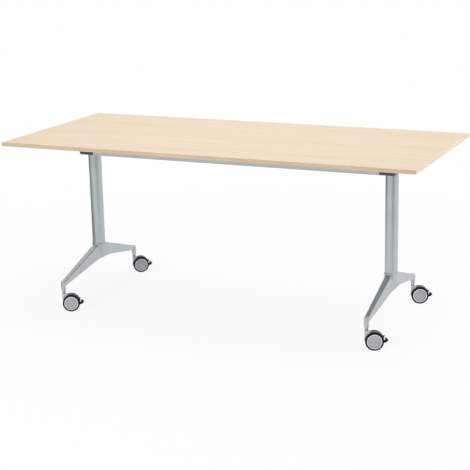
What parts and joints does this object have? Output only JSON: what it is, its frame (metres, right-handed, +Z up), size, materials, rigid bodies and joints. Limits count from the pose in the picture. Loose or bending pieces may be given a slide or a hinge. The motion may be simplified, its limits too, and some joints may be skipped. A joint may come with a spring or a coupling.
{
  "type": "mobile table",
  "caption": "Rectangular tilt-top meeting table with a light wood-grain top on two silver columns and cast arched feet, rolling on braked twin-wheel castors.",
  "frame": {"origin": "on the floor, under the middle of the tabletop", "axes": "+X along the table's length to the right in the picture, +Y towards the edge away from the viewer, +Z up"},
  "size_m": [1.8, 0.8, 0.745],
  "materials": {
    "maple_laminate": "fine lengthwise grain, satin",
    "edge_banding": "satin",
    "silver_paint": "fine satin powder coat",
    "dark_casting": "satin black",
    "zinc_steel": "zinc plated",
    "grey_plastic": "light grey, satin",
    "cap_plastic": "mid grey, satin",
    "black_plastic": "satin",
    "tyre_rubber": "soft black tread"
  },
  "bodies": {
    "frame": {"left_foot": "silver_paint", "right_foot": "silver_paint", "left_column": "silver_paint", "right_column": "silver_paint", "column_plugs": "zinc_steel", "column_bolts": "zinc_steel", "left_head": "dark_casting", "right_head": "dark_casting", "cross_beam": "silver_paint", "beam_screws": "zinc_steel", "castor_stems": "zinc_steel"},
    "tabletop": {"tabletop_board": "maple_laminate", "edge_band_front": "edge_banding", "edge_band_back": "edge_banding", "edge_band_left": "edge_banding", "edge_band_right": "edge_banding", "left_tilt_bracket": "dark_casting", "right_tilt_bracket": "dark_casting", "tilt_pins": "zinc_steel", "lock_catches": "zinc_steel", "bracket_screws": "zinc_steel"},
    "lock": {"lock_shaft": "zinc_steel", "lock_hooks": "zinc_steel", "lock_lever": "black_plastic"},
    "front_left_castor": {"front_left_castor_housing": "grey_plastic", "front_left_axle": "zinc_steel"},
    "front_left_pedal": {"front_left_brake_pedal": "black_plastic"},
    "front_left_near_roll": {"front_left_near_wheel": "grey_plastic", "front_left_near_tyre": "tyre_rubber", "front_left_near_cap": "cap_plastic"},
    "front_left_far_roll": {"front_left_far_wheel": "grey_plastic", "front_left_far_tyre": "tyre_rubber", "front_left_far_cap": "cap_plastic"},
    "front_right_castor": {"front_right_castor_housing": "grey_plastic", "front_right_axle": "zinc_steel"},
    "front_right_pedal": {"front_right_brake_pedal": "black_plastic"},
    "front_right_near_roll": {"front_right_near_wheel": "grey_plastic", "front_right_near_tyre": "tyre_rubber", "front_right_near_cap": "cap_plastic"},
    "front_right_far_roll": {"front_right_far_wheel": "grey_plastic", "front_right_far_tyre": "tyre_rubber", "front_right_far_cap": "cap_plastic"},
    "back_left_castor": {"back_left_castor_housing": "grey_plastic", "back_left_axle": "zinc_steel"},
    "back_left_pedal": {"back_left_brake_pedal": "black_plastic"},
    "back_left_near_roll": {"back_left_near_wheel": "grey_plastic", "back_left_near_tyre": "tyre_rubber", "back_left_near_cap": "cap_plastic"},
    "back_left_far_roll": {"back_left_far_wheel": "grey_plastic", "back_left_far_tyre": "tyre_rubber", "back_left_far_cap": "cap_plastic"},
    "back_right_castor": {"back_right_castor_housing": "grey_plastic", "back_right_axle": "zinc_steel"},
    "back_right_pedal": {"back_right_brake_pedal": "black_plastic"},
    "back_right_near_roll": {"back_right_near_wheel": "grey_plastic", "back_right_near_tyre": "tyre_rubber", "back_right_near_cap": "cap_plastic"},
    "back_right_far_roll": {"back_right_far_wheel": "grey_plastic", "back_right_far_tyre": "tyre_rubber", "back_right_far_cap": "cap_plastic"}
  },
  "joints": [
    {"name": "top_tilt", "type": "hinge", "parent": "frame", "child": "tabletop", "pos_m": [0, 0.075, 0.704], "axis": [-1, 0, 0], "range_deg": [0, 90]},
    {"name": "lock_turn", "type": "hinge", "parent": "frame", "child": "lock", "pos_m": [0, -0.062, 0.694], "axis": [-1, 0, 0], "range_deg": [0, 15]},
    {"name": "front_left_swivel", "type": "hinge", "parent": "frame", "child": "front_left_castor", "pos_m": [-0.6875, -0.3175, 0.08], "axis": [0, 0, 1], "continuous": true},
    {"name": "front_left_near_wheel_roll", "type": "hinge", "parent": "front_left_castor", "child": "front_left_near_roll", "pos_m": [-0.66013, -0.30295, 0.037], "axis": [0.4695, -0.8829, 0], "continuous": true},
    {"name": "front_left_far_wheel_roll", "type": "hinge", "parent": "front_left_castor", "child": "front_left_far_roll", "pos_m": [-0.66013, -0.30295, 0.037], "axis": [0.4695, -0.8829, 0], "continuous": true},
    {"name": "front_left_pedal_press", "type": "hinge", "parent": "front_left_castor", "child": "front_left_pedal", "pos_m": [-0.63629, -0.29027, 0.039], "axis": [-0.4695, 0.8829, 0], "range_deg": [0, 15]},
    {"name": "front_right_swivel", "type": "hinge", "parent": "frame", "child": "front_right_castor", "pos_m": [0.6875, -0.3175, 0.08], "axis": [0, 0, 1], "continuous": true},
    {"name": "front_right_near_wheel_roll", "type": "hinge", "parent": "front_right_castor", "child": "front_right_near_roll", "pos_m": [0.71624, -0.30589, 0.037], "axis": [0.3746, -0.9272, 0], "continuous": true},
    {"name": "front_right_far_wheel_roll", "type": "hinge", "parent": "front_right_castor", "child": "front_right_far_roll", "pos_m": [0.71624, -0.30589, 0.037], "axis": [0.3746, -0.9272, 0], "continuous": true},
    {"name": "front_right_pedal_press", "type": "hinge", "parent": "front_right_castor", "child": "front_right_pedal", "pos_m": [0.74128, -0.29577, 0.039], "axis": [-0.3746, 0.9272, 0], "range_deg": [0, 15]},
    {"name": "back_left_swivel", "type": "hinge", "parent": "frame", "child": "back_left_castor", "pos_m": [-0.6875, 0.3175, 0.08], "axis": [0, 0, 1], "continuous": true},
    {"name": "back_left_near_wheel_roll", "type": "hinge", "parent": "back_left_castor", "child": "back_left_near_roll", "pos_m": [-0.66211, 0.33528, 0.037], "axis": [0.5736, -0.8192, 0], "continuous": true},
    {"name": "back_left_far_wheel_roll", "type": "hinge", "parent": "back_left_castor", "child": "back_left_far_roll", "pos_m": [-0.66211, 0.33528, 0.037], "axis": [0.5736, -0.8192, 0], "continuous": true},
    {"name": "back_left_pedal_press", "type": "hinge", "parent": "back_left_castor", "child": "back_left_pedal", "pos_m": [-0.63999, 0.35077, 0.039], "axis": [-0.5736, 0.8192, 0], "range_deg": [0, 15]},
    {"name": "back_right_swivel", "type": "hinge", "parent": "frame", "child": "back_right_castor", "pos_m": [0.6875, 0.3175, 0.08], "axis": [0, 0, 1], "continuous": true},
    {"name": "back_right_near_wheel_roll", "type": "hinge", "parent": "back_right_castor", "child": "back_right_near_roll", "pos_m": [0.71624, 0.32911, 0.037], "axis": [0.3746, -0.9272, 0], "continuous": true},
    {"name": "back_right_far_wheel_roll", "type": "hinge", "parent": "back_right_castor", "child": "back_right_far_roll", "pos_m": [0.71624, 0.32911, 0.037], "axis": [0.3746, -0.9272, 0], "continuous": true},
    {"name": "back_right_pedal_press", "type": "hinge", "parent": "back_right_castor", "child": "back_right_pedal", "pos_m": [0.74128, 0.33923, 0.039], "axis": [-0.3746, 0.9272, 0], "range_deg": [0, 15]}
  ]
}
